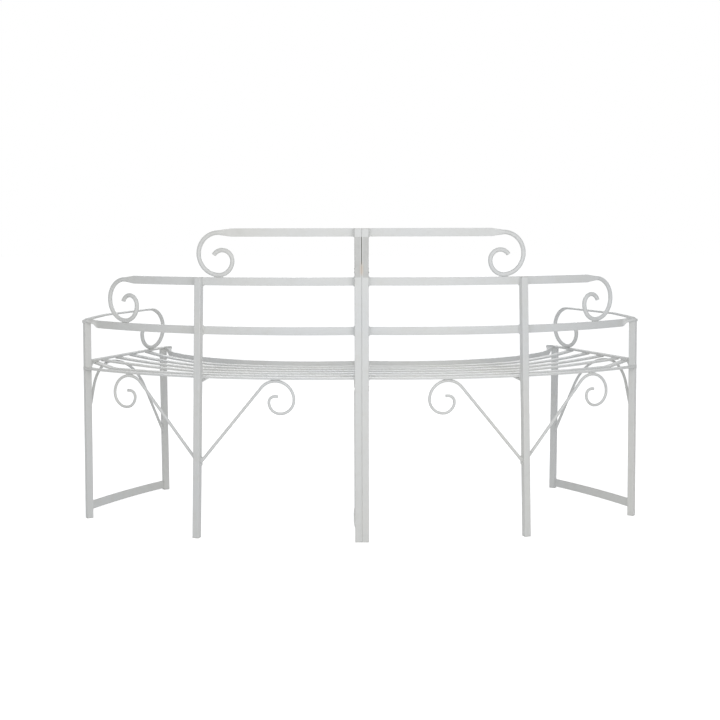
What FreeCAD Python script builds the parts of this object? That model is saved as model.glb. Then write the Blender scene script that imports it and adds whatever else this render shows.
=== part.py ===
import FreeCAD, Part
import Sketcher
import math
import os

# A curved steel garden bench in two mirrored modules, which stand side by side round a tree.
# X runs along the bench, Y from its outer (convex) back to its inner (concave) front, Z up.
# The driving sizes are in the sheet, in millimetres and degrees.
SIZES = [
    ("back_height", 850.0, "floor to the top of the two centre back posts"),
    ("post_width", 19.0, "square tube of the posts, across the flats"),
    ("post_wall", 1.5, "wall of that tube"),
    ("post_corner", 2.0, "outer corner radius of that tube"),
    ("post_splay", 1.6, "sideways splay of the mid and end posts"),
    ("rod_width", 12.0, "diameter of the rod that the rails are forged from"),
    ("flat_depth", 22.0, "depth of that rod where it is forged flat"),
    ("flat_thick", 5.0, "thickness of that rod where it is forged flat"),
    ("back_radius", 902.1, "outer face of the back rails, in plan"),
    ("back_shift", 133.4, "their centre, from the centre plane"),
    ("back_start", 2.0, "end of the back rails, from the centre plane"),
    ("mid_post_turn", 20.0, "place of the mid post round that arc"),
    ("end_post_turn", 46.4, "place of the end post round that arc"),
    ("end_tube_turn", 60.0, "turn of the end post's and end leg's own tube"),
    ("middle_rail_height", 708.6, "floor to the middle line of the middle rail"),
    ("lower_rail_height", 576.0, "floor to the middle line of the lower rail"),
    ("top_flat_end", 13.8, "where the top rail stops being flat, round the arc"),
    ("middle_flat_end", 33.7, "where the middle rail stops being flat"),
    ("lower_flat_end", 43.0, "where the lower rail stops being flat"),
    ("rail_taper", 36.0, "length over which a rail turns from flat to round"),
    ("top_curl_second", 38.4, "second radius of the top rail's scroll"),
    ("top_curl_third", 28.3, "its third radius"),
    ("top_curl_tip", 146.0, "turn of its last arc"),
    ("middle_curl_second", 45.0, "second radius of the middle rail's scroll"),
    ("middle_curl_third", 26.5, "its third radius"),
    ("middle_curl_tip", 158.0, "turn of its last arc"),
    ("arm_height", 595.0, "floor to the middle line of the armrest rod"),
    ("arm_rise", 50.0, "length over which the strap rises into that rod"),
    ("arm_reach", 345.0, "end post to the top of the arm scroll"),
    ("arm_inturn", 8.0, "turn inwards of the rod before it rolls into that scroll"),
    ("arm_inturn_radius", 250.0, "radius of that turn"),
    ("arm_curl_second", 43.0, "second radius of the arm scroll"),
    ("arm_curl_third", 20.0, "its third radius"),
    ("arm_curl_tip", 110.0, "turn of its last arc"),
    ("corner_radius", 14.0, "bend of a strap round the end post"),
    ("end_splay", 22.3, "lean-in of the end frame, from straight ahead"),
    ("end_span", 419.4, "end post to end front leg, centre to centre"),
    ("seat_height", 449.5, "floor to the top of the slats"),
    ("seat_radius", 1042.0, "middle line of the seat's back rim, in plan"),
    ("seat_shift", 116.5, "its centre, from the centre plane"),
    ("strap_width", 20.0, "width of the back rim and the slats"),
    ("strap_thick", 5.0, "their thickness"),
    ("end_rail_height", 466.5, "floor to the middle line of the seat's end rail"),
    ("end_rail_rise", 16.0, "length over which the rim rises into the end rail"),
    ("front_leg_depth", 338.0, "centre back post to centre front leg"),
    ("front_radius", 520.0, "middle line of the front rim, in plan"),
    ("front_shift", 133.0, "its centre, from the centre plane"),
    ("front_bend", 10.5, "bend of the end rail over the end front leg"),
    ("front_taper", 34.0, "length over which it turns up into the front rim"),
    ("slat_first_middle", 75.0, "first slat at the centre rail, from the back posts"),
    ("slat_pitch_middle", 53.0, "slat to slat at the centre rail"),
    ("first_slat_end", 34.0, "end post to the tip of the first slat, along the end rail"),
    ("second_slat_end", 82.0, "end post to the tip of the second slat"),
    ("third_slat_end", 160.0, "end post to the tip of the third slat"),
    ("fourth_slat_end", 237.0, "end post to the tip of the fourth slat"),
    ("fifth_slat_end", 328.0, "end post to the tip of the fifth slat"),
    ("slat_bend", 60.0, "radius of the bend from which a slat climbs to the end rail"),
    ("first_slat_climb", 72.0, "run of that climb on the first slat; the others start at the bar"),
    ("crossbar_back", 437.0, "back end of the bar under the slats, from the centre"),
    ("crossbar_depth", 57.0, "the same end, from the centre back posts"),
    ("crossbar_front", 400.0, "its front end, from the centre"),
    ("brace_rod", 10.0, "diameter of the brace rods"),
    ("inner_brace_reach", 203.0, "mid post's side to the crest of the inner brace"),
    ("inner_brace_slope", 50.5, "slope of that brace"),
    ("outer_brace_reach", 220.0, "mid post's side to the crest of the outer brace"),
    ("outer_brace_slope", 49.0, "slope of that brace"),
    ("brace_first", 50.6, "first radius of a brace scroll"),
    ("brace_second", 38.5, "its second radius"),
    ("brace_third", 30.5, "its third radius"),
    ("brace_fourth", 17.0, "its fourth radius"),
    ("brace_tip", 8.0, "straight tip of a brace scroll"),
    ("arch_crest", 120.0, "back post to the crest of the end arch"),
    ("arch_back_height", 300.0, "foot of an arched brace on the back post"),
    ("arch_back_slope", 70.0, "slope of that side"),
    ("arch_front_height", 180.0, "foot of an arched brace on the front leg"),
    ("arch_front_slope", 57.0, "slope of that side"),
    ("arch_fit", 0.6, "gap between the end arch and the slats' tips"),
    ("stretcher_depth", 25.0, "depth of the floor stretchers' flat bar"),
    ("stretcher_drop", 18.0, "fall of a stretcher from the back post to the leg"),
    ("stretcher_bow", 10.0, "sideways bow of a stretcher"),
    ("stretcher_height", 5.5, "floor to a stretcher's lower edge at the front leg"),
    ("foot_sole", 2.0, "sole of the plastic foot plugs"),
    ("plug_depth", 14.0, "length of a plug inside its tube"),
    ("plug_fit", 0.2, "gap round a plug inside its tube"),
    ("bolt_width", 6.0, "joining bolts"),
    ("sleeve_width", 8.0, "sleeves of their flat-headed nuts"),
    ("hole_fit", 0.4, "extra width of the holes that the sleeves pass through"),
    ("bolt_head", 14.0, "flat heads of the joining bolts and nuts, across"),
    ("head_height", 1.6, "their height"),
    ("key_socket", 4.6, "six-sided key socket in a head, across the corners"),
    ("key_depth", 1.0, "its depth"),
    ("sleeve_reach", 8.0, "sleeve's end past the centre plane"),
    ("bolt_reach", 12.0, "bolt's end past the centre plane"),
    ("upper_bolt_height", 738.0, "floor to the upper joining bolt"),
    ("lower_bolt_height", 421.0, "floor to the lower joining bolt"),
]

# Plan of the right module: places and bearings worked out from the sizes above.
# A bearing round an arc is measured from straight back, so that it is also the heading there.
LAYOUT = [
    ("half_post", "Sizes.post_width / 2"),
    ("half_flat", "Sizes.flat_thick / 2"),
    ("rail_line", "Sizes.back_radius - half_flat"),
    ("back_x", "Sizes.back_shift"),
    # A tube with round corners reaches this far towards an arc that it stands askew to.
    ("core", "half_post - Sizes.post_corner"),
    ("centre_skew", "asin((Sizes.back_shift - half_post) / (Sizes.back_radius + half_post)) / 1deg"),
    ("centre_touch", "core * (cos(centre_skew) + sin(centre_skew)) + Sizes.post_corner"),
    ("back_y", "sqrt((Sizes.back_radius + centre_touch) ^ 2 - (back_x - half_post) ^ 2)"),
    ("rail_start", "asin((Sizes.back_start - back_x) / rail_line) / 1deg"),
    ("splay_rate", "tan(Sizes.post_splay)"),
    ("mid_x", "back_x + (Sizes.back_radius + half_post) * sin(Sizes.mid_post_turn)"),
    ("mid_y", "back_y - (Sizes.back_radius + half_post) * cos(Sizes.mid_post_turn)"),
    ("tube_skew", "Sizes.end_tube_turn - Sizes.end_post_turn"),
    ("end_touch", "core * (cos(tube_skew) + sin(tube_skew)) + Sizes.post_corner"),
    ("end_reach", "Sizes.back_radius + end_touch"),
    ("end_x", "back_x + end_reach * sin(Sizes.end_post_turn)"),
    ("end_y", "back_y - end_reach * cos(Sizes.end_post_turn)"),
    ("end_heading", "90 + Sizes.end_splay"),
    ("leg_x", "end_x + Sizes.end_span * cos(end_heading)"),
    ("leg_y", "end_y + Sizes.end_span * sin(end_heading)"),
    ("leg_reach", "core * (cos(Sizes.end_tube_turn) + sin(Sizes.end_tube_turn))"
                  " + Sizes.post_corner"),
    ("module_depth", "(leg_y + leg_reach - half_post) / 2"),
    ("top_rail_height", "Sizes.back_height - Sizes.flat_depth / 2"),
    ("strap_line", "Sizes.lower_rail_height + (Sizes.flat_depth - Sizes.flat_thick) / 2"),
    ("rim_height", "Sizes.seat_height - Sizes.strap_thick / 2"),
    ("rim_bottom", "Sizes.seat_height - Sizes.strap_thick"),
    ("rod_radius", "Sizes.rod_width / 2"),
    ("rail_top", "Sizes.end_rail_height + Sizes.strap_thick / 2"),
    ("mid_top", "Sizes.middle_rail_height + Sizes.flat_depth / 2"),
    ("lower_top", "Sizes.lower_rail_height + Sizes.flat_depth / 2"),
    ("top_curl", "(top_rail_height - mid_top - rod_radius) / 2"),
    ("middle_curl", "(Sizes.middle_rail_height - lower_top - rod_radius) / 2"),
    ("arm_curl", "(Sizes.arm_height - rod_radius - rail_top) / 2"),
    # The seat's back rim touches the corner of the centre post and turns over the end post.
    ("rim_x", "Sizes.seat_shift"),
    ("rim_skew", "asin((rim_x - half_post) / (Sizes.seat_radius + Sizes.strap_width)) / 1deg"),
    ("rim_touch", "core * (cos(rim_skew) + sin(rim_skew)) + Sizes.post_corner"),
    ("rim_y", "sqrt((Sizes.seat_radius + Sizes.strap_width / 2 + rim_touch) ^ 2"
              " - (rim_x - half_post) ^ 2)"),
    ("rim_start", "asin((half_flat - rim_x) / Sizes.seat_radius) / 1deg"),
    ("across", "(rim_x - end_x) * cos(Sizes.end_splay) + (rim_y - end_y) * sin(Sizes.end_splay)"
               " + Sizes.corner_radius"),
    ("along", "(rim_x - end_x) * cos(end_heading) + (rim_y - end_y) * sin(end_heading)"),
    ("corner_along", "along - sqrt((Sizes.seat_radius - Sizes.corner_radius) ^ 2 - across ^ 2)"),
    ("corner_x", "end_x + corner_along * cos(end_heading) - Sizes.corner_radius * sin(end_heading)"),
    ("corner_y", "end_y + corner_along * sin(end_heading) + Sizes.corner_radius * cos(end_heading)"),
    ("rim_end", "atan2(corner_x - rim_x; rim_y - corner_y) / 1deg"),
    # The front rim starts on the centre front leg and meets the end rail in a tight bend.
    ("front_x", "Sizes.front_shift"),
    ("front_y", "Sizes.front_leg_depth"
                " + sqrt(Sizes.front_radius ^ 2 - (front_x - Sizes.post_width) ^ 2)"),
    ("front_start", "asin((half_post - front_x) / Sizes.front_radius) / 1deg"),
    ("front_across", "(front_x - end_x) * cos(Sizes.end_splay)"
                     " + (front_y - end_y) * sin(Sizes.end_splay) + Sizes.front_bend"),
    ("front_along", "(front_x - end_x) * cos(end_heading) + (front_y - end_y) * sin(end_heading)"),
    ("bend_along", "front_along - sqrt((Sizes.front_radius + Sizes.front_bend) ^ 2"
                   " - front_across ^ 2)"),
    ("bend_x", "end_x + bend_along * cos(end_heading) - Sizes.front_bend * sin(end_heading)"),
    ("bend_y", "end_y + bend_along * sin(end_heading) + Sizes.front_bend * cos(end_heading)"),
    ("front_end", "atan2(bend_x - front_x; front_y - bend_y) / 1deg"),
    ("front_flat_end", "front_end - Sizes.front_taper / Sizes.front_radius * 180 / pi"),
    ("leg_top", "Sizes.end_rail_height - Sizes.strap_thick / 2"),
    # The lower rail leaves its arc for the top of the end post.
    ("lower_x", "back_x + rail_line * sin(Sizes.lower_flat_end)"),
    ("lower_y", "back_y - rail_line * cos(Sizes.lower_flat_end)"),
    ("arm_turn_in", "atan2(end_y - lower_y; end_x - lower_x) / 1deg"),
    ("arm_turn", "end_heading - arm_turn_in"),
    ("arm_tangent", "Sizes.corner_radius * tan(arm_turn / 2)"),
    # The armrest turns inwards a little before its scroll.
    ("arm_bend", "Sizes.arm_reach - Sizes.arm_inturn_radius * sin(Sizes.arm_inturn)"),
    ("arm_shift", "Sizes.arm_inturn_radius * (1 - cos(Sizes.arm_inturn))"),
    ("arm_x", "end_x + Sizes.arm_reach * cos(end_heading) - arm_shift * sin(end_heading)"),
    ("arm_y", "end_y + Sizes.arm_reach * sin(end_heading) + arm_shift * cos(end_heading)"),
    ("arm_heading", "end_heading + Sizes.arm_inturn"),
    # An arched brace passes just under the slats' tips, or touches the centre seat rail.
    ("brace_radius", "Sizes.brace_rod / 2"),
    ("end_arch_top", "leg_top - Sizes.strap_thick - Sizes.arch_fit - brace_radius"),
    ("centre_arch_top", "Sizes.seat_height - Sizes.flat_depth - brace_radius"),
    # A scroll brace runs straight in plan, flush with the mid post's front, to the back rim:
    # the inner one crests under the rim's middle line and the outer one under its outer edge.
    ("brace_x", "mid_x - (half_post - brace_radius) * sin(Sizes.mid_post_turn)"),
    ("brace_y", "mid_y + (half_post - brace_radius) * cos(Sizes.mid_post_turn)"),
    ("brace_to_rim", "sqrt((rim_x - brace_x) ^ 2 + (rim_y - brace_y) ^ 2)"),
    ("brace_bearing", "atan2(rim_y - brace_y; rim_x - brace_x) / 1deg"),
    ("inner_run", "half_post + Sizes.inner_brace_reach"),
    ("outer_run", "half_post + Sizes.outer_brace_reach"),
    ("rim_edge", "Sizes.seat_radius + Sizes.strap_width / 2"),
    ("inner_spread", "acos((brace_to_rim ^ 2 + inner_run ^ 2 - Sizes.seat_radius ^ 2)"
                     " / (2 * brace_to_rim * inner_run)) / 1deg"),
    ("outer_spread", "acos((brace_to_rim ^ 2 + outer_run ^ 2 - rim_edge ^ 2)"
                     " / (2 * brace_to_rim * outer_run)) / 1deg"),
    # The end post splays, so each piece between it and the front leg has its own line.
    ("arch_x", "end_x - splay_rate * (Sizes.arch_back_height - rim_height) * cos(Sizes.end_post_turn)"),
    ("arch_y", "end_y - splay_rate * (Sizes.arch_back_height - rim_height) * sin(Sizes.end_post_turn)"),
    ("arch_span", "sqrt((leg_x - arch_x) ^ 2 + (leg_y - arch_y) ^ 2)"),
    ("arch_heading", "atan2(leg_y - arch_y; leg_x - arch_x) / 1deg"),
    ("low_x", "end_x + splay_rate * (rim_height - Sizes.stretcher_depth) * cos(Sizes.end_post_turn)"),
    ("low_y", "end_y + splay_rate * (rim_height - Sizes.stretcher_depth) * sin(Sizes.end_post_turn)"),
    ("low_span", "sqrt((leg_x - low_x) ^ 2 + (leg_y - low_y) ^ 2)"),
    ("low_heading", "atan2(leg_y - low_y; leg_x - low_x) / 1deg"),
]

# The two modules: X of the left one is mirrored.
SIDES = [("left", -1), ("right", 1)]

doc = FreeCAD.newDocument("curved_bench")


def fill_sheet():
    """Put the driving sizes in the sheet, one row each."""
    sheet = doc.addObject("Spreadsheet::Sheet", "Sizes")
    for row, (alias, size, meaning) in enumerate(SIZES, start=1):
        sheet.set("A%d" % row, alias)
        sheet.set("B%d" % row, str(size))
        sheet.set("C%d" % row, meaning)
        sheet.setAlias("B%d" % row, alias)
    doc.recompute()
    return sheet


def lay_out():
    """Work out the plan of a module from the sheet."""
    plan = doc.addObject("App::VarSet", "Layout")
    for name, expression in LAYOUT:
        plan.addProperty("App::PropertyFloat", name, "Plan")
        plan.setExpression(name, expression)
    doc.recompute()
    return plan


sizes = fill_sheet()
layout = lay_out()


def number(expression):
    """The present value of an expression, for a sketch's first shape."""
    return float(sizes.evalExpression("(%s) / 1" % expression))


def mirrored(side, x):
    """An expression for X on one side of the centre plane."""
    return "%d * (%s)" % (side, x)


def heading_on(side, heading):
    """An expression for a heading on one side, counter-clockwise from +X."""
    return "%d + %d * (%s)" % (90 - 90 * side, side, heading)


def new_body(label):
    """A named body, moved so that the bench's box is centred on Y."""
    body = doc.addObject("PartDesign::Body", label)
    body.Label = label
    body.setExpression("Placement", "placement(vector(0; -Layout.module_depth; 0);"
                                    " rotation(vector(0; 0; 1); 0))")
    return body


def origin_plane(body, role):
    """One of a body's own origin planes."""
    for feature in body.Origin.OriginFeatures:
        if feature.Role == role:
            return feature
    raise ValueError(role)


def new_sketch(body, name, role, offset):
    """A sketch on an origin plane of its body, moved by an expression."""
    sketch = body.newObject("Sketcher::SketchObject", body.Label + "_" + name)
    sketch.AttachmentSupport = [(origin_plane(body, role), "")]
    sketch.MapMode = "FlatFace"
    sketch.setExpression("AttachmentOffset", offset)
    return sketch


def station(body, name, side, x, y, z, heading, rise="0"):
    """A cross-section sketch at a place: it faces the heading, X to the left of it and Y up."""
    return new_sketch(body, name, "YZ_Plane",
                      "placement(vector(%s; %s; %s); rotation(vector(0; 1; 0); %s)"
                      " * rotation(vector(1; 0; 0); -(%s)))"
                      % (y, z, mirrored(side, x), heading_on(side, heading), rise))


def upright(body, name, side, x, y, z, heading):
    """A sketch in the upright plane along a heading: X along the heading and Y up."""
    return new_sketch(body, name, "XZ_Plane",
                      "placement(vector(%s; %s; -(%s)); rotation(vector(0; 1; 0); %s))"
                      % (mirrored(side, x), z, y, heading_on(side, heading)))


def level(body, name, side, x, y, z, turn="0"):
    """A sketch in a level plane, turned about its own middle."""
    return new_sketch(body, name, "XY_Plane",
                      "placement(vector(%s; %s; %s); rotation(vector(0; 0; 1); %s))"
                      % (mirrored(side, x), y, z, mirrored(side, turn)))


def constrain(sketch, kind, *where, size=None):
    """Add a constraint; a size is an expression that keeps driving it."""
    if size is None:
        return sketch.addConstraint(Sketcher.Constraint(kind, *where))
    value = math.radians(number(size)) if kind == "Angle" else number(size)
    index = sketch.addConstraint(Sketcher.Constraint(kind, *where, value))
    sketch.setExpression("Constraints[%d]" % index, size)
    return index


START, END, MIDDLE = 1, 2, 3
ORIGIN = (-1, 1)


def vector(x, y):
    return FreeCAD.Vector(x, y, 0)


def arc_between(middle, radius, first, last):
    """An arc, counter-clockwise between two bearings in degrees."""
    circle = Part.Circle(middle, FreeCAD.Vector(0, 0, 1), radius)
    return Part.ArcOfCircle(circle, math.radians(first), math.radians(last))


def draw_square(sketch, width, corner):
    """A square about the sketch's origin with round corners."""
    half = number(width) / 2
    radius = number(corner)
    inner = half - radius
    corners = [(1, 1), (-1, 1), (-1, -1), (1, -1)]
    arcs = []
    for index, (x, y) in enumerate(corners):
        arc = arc_between(vector(x * inner, y * inner), radius, 90 * index, 90 * index + 90)
        arcs.append(sketch.addGeometry(arc, False))
    lines = []
    for index in range(4):
        x, y = corners[index]
        ahead_x, ahead_y = corners[(index + 1) % 4]
        if index % 2 == 0:
            line = Part.LineSegment(vector(x * inner, y * half), vector(ahead_x * inner, y * half))
        else:
            line = Part.LineSegment(vector(x * half, y * inner), vector(x * half, ahead_y * inner))
        lines.append(sketch.addGeometry(line, False))
    for index in range(4):
        following = arcs[(index + 1) % 4]
        constrain(sketch, "Tangent", arcs[index], END, lines[index], START)
        constrain(sketch, "Tangent", lines[index], END, following, START)
    constrain(sketch, "Horizontal", lines[0])
    constrain(sketch, "Vertical", lines[1])
    constrain(sketch, "Horizontal", lines[2])
    constrain(sketch, "Vertical", lines[3])
    for arc in arcs[1:]:
        constrain(sketch, "Equal", arcs[0], arc)
    constrain(sketch, "Symmetric", arcs[0], MIDDLE, arcs[2], MIDDLE, *ORIGIN)
    constrain(sketch, "Radius", arcs[0], size=corner)
    constrain(sketch, "DistanceX", lines[1], START, lines[3], START, size=width)
    constrain(sketch, "DistanceY", lines[2], START, lines[0], START, size=width)


def draw_rectangle(sketch, wide, tall):
    """A square-edged section about the origin: its left, bottom, right and top sides in turn."""
    x, y = number(wide) / 2, number(tall) / 2
    corners = [vector(-x, y), vector(-x, -y), vector(x, -y), vector(x, y), vector(-x, y)]
    lines = [sketch.addGeometry(Part.LineSegment(corners[index], corners[index + 1]), False)
             for index in range(4)]
    for index in range(4):
        constrain(sketch, "Coincident", lines[index], END, lines[(index + 1) % 4], START)
        constrain(sketch, "Horizontal" if index % 2 else "Vertical", lines[index])
    constrain(sketch, "Symmetric", lines[0], START, lines[2], START, *ORIGIN)
    constrain(sketch, "DistanceX", lines[1], START, lines[1], END, size=wide)
    constrain(sketch, "DistanceY", lines[0], END, lines[0], START, size=tall)


def draw_round(sketch, width):
    """A circle about the origin, in four arcs that match the four sides of a flat bar."""
    radius = number(width) / 2
    arcs = []
    for first in (135, 225, 315, 45):
        arc = arc_between(vector(0, 0), radius, first, first + 90)
        arcs.append(sketch.addGeometry(arc, False))
    for arc in arcs[:3]:
        constrain(sketch, "Coincident", arc, MIDDLE, *ORIGIN)
    for index in range(4):
        constrain(sketch, "Coincident", arcs[index], END, arcs[(index + 1) % 4], START)
        constrain(sketch, "Angle", arcs[index], size="90")
    constrain(sketch, "Vertical", arcs[0], START, arcs[0], END)
    constrain(sketch, "Radius", arcs[0], size="(%s) / 2" % width)


def draw_circle(sketch, width):
    """A plain circle about the origin."""
    circle = Part.Circle(vector(0, 0), FreeCAD.Vector(0, 0, 1), number(width) / 2)
    index = sketch.addGeometry(circle, False)
    constrain(sketch, "Coincident", index, MIDDLE, *ORIGIN)
    constrain(sketch, "Radius", index, size="(%s) / 2" % width)


def draw_hexagon(sketch, across):
    """A hexagon about the origin, given across its corners."""
    radius = number(across) / 2
    ring = sketch.addGeometry(Part.Circle(vector(0, 0), FreeCAD.Vector(0, 0, 1), radius), True)
    constrain(sketch, "Coincident", ring, MIDDLE, *ORIGIN)
    constrain(sketch, "Radius", ring, size="(%s) / 2" % across)
    corners = [vector(radius * math.cos(math.radians(60 * index)),
                      radius * math.sin(math.radians(60 * index))) for index in range(7)]
    sides = [sketch.addGeometry(Part.LineSegment(corners[index], corners[index + 1]), False)
             for index in range(6)]
    for index in range(6):
        constrain(sketch, "Coincident", sides[index], END, sides[(index + 1) % 6], START)
        constrain(sketch, "PointOnObject", sides[index], START, ring)
    for side_line in sides[1:]:
        constrain(sketch, "Equal", sides[0], side_line)
    constrain(sketch, "PointOnObject", sides[0], START, -1)


def draw_axis(sketch, side, radius):
    """The upright line that a section turns about, on the inner side of the arc."""
    start = vector(side * number(radius), 0)
    finish = vector(side * number(radius), side * number("Sizes.flat_depth"))
    line = sketch.addGeometry(Part.LineSegment(start, finish), True)
    constrain(sketch, "Vertical", line)
    constrain(sketch, "PointOnObject", line, START, -1)
    ends = (line, START, *ORIGIN) if side < 0 else (*ORIGIN, line, START)
    constrain(sketch, "DistanceX", *ends, size=radius)
    ends = (line, END, line, START) if side < 0 else (line, START, line, END)
    constrain(sketch, "DistanceY", *ends, size="Sizes.flat_depth")


def draw_level_axis(sketch, radius):
    """The level line that a lying bar turns up about, over its middle."""
    half = number("Sizes.strap_width") / 2
    height = number(radius)
    line = sketch.addGeometry(Part.LineSegment(vector(half, height), vector(-half, height)), True)
    constrain(sketch, "Horizontal", line)
    constrain(sketch, "DistanceX", *ORIGIN, line, START, size="Sizes.strap_width / 2")
    constrain(sketch, "DistanceX", line, END, line, START, size="Sizes.strap_width")
    constrain(sketch, "DistanceY", *ORIGIN, line, START, size=radius)


def draw_chain(sketch, slope, pieces):
    """A chain of tangent lines and clockwise arcs from the origin.

    A piece is (length,) for a line or (radius, turn) for an arc, as expressions.
    """
    place = vector(0, 0)
    bearing = number(slope)
    last = None
    for piece in pieces:
        ahead = vector(math.cos(math.radians(bearing)), math.sin(math.radians(bearing)))
        if len(piece) == 1:
            finish = place + ahead * number(piece[0])
            index = sketch.addGeometry(Part.LineSegment(place, finish), False)
            entry, leave = START, END
        else:
            radius, turn = number(piece[0]), number(piece[1])
            middle = place + vector(ahead.y, -ahead.x) * radius
            arc = arc_between(middle, radius, bearing + 90 - turn, bearing + 90)
            index = sketch.addGeometry(arc, False)
            bearing -= turn
            finish = middle + vector(-math.sin(math.radians(bearing)),
                                     math.cos(math.radians(bearing))) * radius
            entry, leave = END, START
        if last is None:
            constrain(sketch, "Coincident", index, entry, *ORIGIN)
            if len(piece) == 1:
                constrain(sketch, "Angle", index, size=slope)
            else:
                constrain(sketch, "Vertical", index, entry, index, MIDDLE)
        else:
            constrain(sketch, "Tangent", last[0], last[1], index, entry)
        if len(piece) == 1:
            constrain(sketch, "Distance", index, size=piece[0])
        else:
            constrain(sketch, "Radius", index, size=piece[0])
            constrain(sketch, "Angle", index, size=piece[1])
        last = (index, leave)
        place = finish


def rod_end(body, side, x, y, z, heading):
    """The end of a rod, drawn in quarters for a taper and whole for what follows it."""
    quarters = station(body, "rod_quarters", side, x, y, z, heading)
    draw_round(quarters, "Sizes.rod_width")
    whole = station(body, "rod", side, x, y, z, heading)
    draw_circle(whole, "Sizes.rod_width")
    return quarters, whole


def add_feature(body, kind, name, profile):
    feature = body.newObject("PartDesign::" + kind, body.Label + "_" + name)
    feature.Profile = profile
    return feature


def pad(body, name, profile, length, lean=None):
    """Extend a section along its normal, or along a leaning direction."""
    feature = add_feature(body, "Pad", name, profile)
    feature.setExpression("Length", length)
    if lean:
        feature.UseCustomVector = True
        feature.Direction = FreeCAD.Vector(*[number(part) for part in lean])
        for axis, part in zip("xyz", lean):
            feature.setExpression("Direction." + axis, part)
        feature.AlongSketchNormal = True
    return feature


def pocket(body, name, profile, length):
    """Cut a section out of the body along its normal."""
    feature = add_feature(body, "Pocket", name, profile)
    feature.Reversed = True
    feature.setExpression("Length", length)
    return feature


def bend(body, name, profile, angle, backward=False):
    """Turn a section about the axis in its own sketch."""
    feature = add_feature(body, "Revolution", name, profile)
    feature.ReferenceAxis = (profile, ["Axis0"])
    feature.Reversed = backward
    feature.setExpression("Angle", angle)
    return feature


def taper(body, name, first, second):
    """Change from one section to the next."""
    feature = add_feature(body, "AdditiveLoft", name, first)
    feature.Sections = [second]
    feature.Ruled = True
    return feature


def curl(body, name, profile, spine):
    """Carry a section along a chain of arcs."""
    feature = add_feature(body, "AdditivePipe", name, profile)
    feature.Spine = spine
    return feature


def along_end(distance):
    """X and Y of a place on the end frame's line, from the end post."""
    return ("Layout.end_x + (%s) * cos(Layout.end_heading)" % distance,
            "Layout.end_y + (%s) * sin(Layout.end_heading)" % distance)


def on_arc(centre, radius, bearing):
    """X and Y of a place on an arc about one of the plan's centres."""
    return ("Layout.%s_x + (%s) * sin(%s)" % (centre, radius, bearing),
            "Layout.%s_y - (%s) * cos(%s)" % (centre, radius, bearing))


def splayed(post, bearing, height):
    """X and Y of a splayed post at a height; it stands in place at the seat."""
    shift = "Layout.splay_rate * (%s - Layout.rim_height)" % height
    return ("Layout.%s_x - %s * cos(%s)" % (post, shift, bearing),
            "Layout.%s_y - %s * sin(%s)" % (post, shift, bearing))


MID_TURN = "Sizes.mid_post_turn"
END_TURN = "Sizes.end_post_turn"
TUBE_TURN = "Sizes.end_tube_turn"
BORE = "Sizes.post_width - 2 * Sizes.post_wall"


def make_post(label, side, place, turn, bottom, top, lean=None):
    """A length of square tube; the lean is the bearing that a splayed post leans along."""
    body = new_body(label)
    section = level(body, "section", side, *place, bottom, turn)
    draw_square(section, "Sizes.post_width", "Sizes.post_corner")
    draw_rectangle(section, BORE, BORE)
    pad(body, "tube", section, "(%s) - (%s)" % (top, bottom),
        lean_direction(side, lean) if lean else None)
    return body


def drill_for_bolts(body, side):
    """The holes of the two joining bolts, through both walls of a centre back post."""
    for name, height in (("upper_hole", "Sizes.upper_bolt_height"),
                         ("lower_hole", "Sizes.lower_bolt_height")):
        hole = station(body, name, side, "0", "0", height, "0")
        draw_circle(hole, "Sizes.sleeve_width + Sizes.hole_fit")
        pocket(body, name + "_cut", hole, "Sizes.post_width")


def lean_direction(side, lean):
    """Upwards along a post that is splayed along a bearing."""
    return (mirrored(side, "-Layout.splay_rate * cos(%s)" % lean),
            "-Layout.splay_rate * sin(%s)" % lean, "1")


def make_plug(label, side, place, turn, height, downward, lean=None):
    """A plastic plug in a tube's end, with a sole as wide as the tube; downward for a top cap."""
    body = new_body(label)
    low = "(%s) - Sizes.foot_sole" % height if downward else height
    core_low = "%s - Sizes.plug_depth" % low if downward else "(%s) + Sizes.foot_sole" % height
    sole = level(body, "sole", side, *place, low, turn)
    draw_square(sole, "Sizes.post_width", "Sizes.post_corner")
    direction = lean_direction(side, lean) if lean else None
    pad(body, "base", sole, "Sizes.foot_sole", direction)
    core = level(body, "core", side, *place, core_low, turn)
    core_width = "%s - 2 * Sizes.plug_fit" % BORE
    draw_rectangle(core, core_width, core_width)
    pad(body, "plug", core, "Sizes.plug_depth", direction)
    return body


def cope(body, side, name, place, turn, low, high):
    """Fit the body round a post: cut the post's outline out of it between two heights."""
    outline = level(body, name, side, *place, low, turn)
    draw_square(outline, "Sizes.post_width", "Sizes.post_corner")
    pocket(body, name + "_cut", outline, "(%s) - (%s)" % (high, low))


def trim_at_centre_rail(body, side):
    """Cut a strap square where it meets the side of the centre seat rail."""
    footprint = level(body, "rail_side", side, "Layout.half_flat", "Sizes.front_leg_depth / 2", "0")
    draw_rectangle(footprint, "Sizes.flat_thick", "2 * Sizes.front_leg_depth")
    pocket(body, "rail_side_cut", footprint, "2 * Sizes.seat_height")


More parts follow.
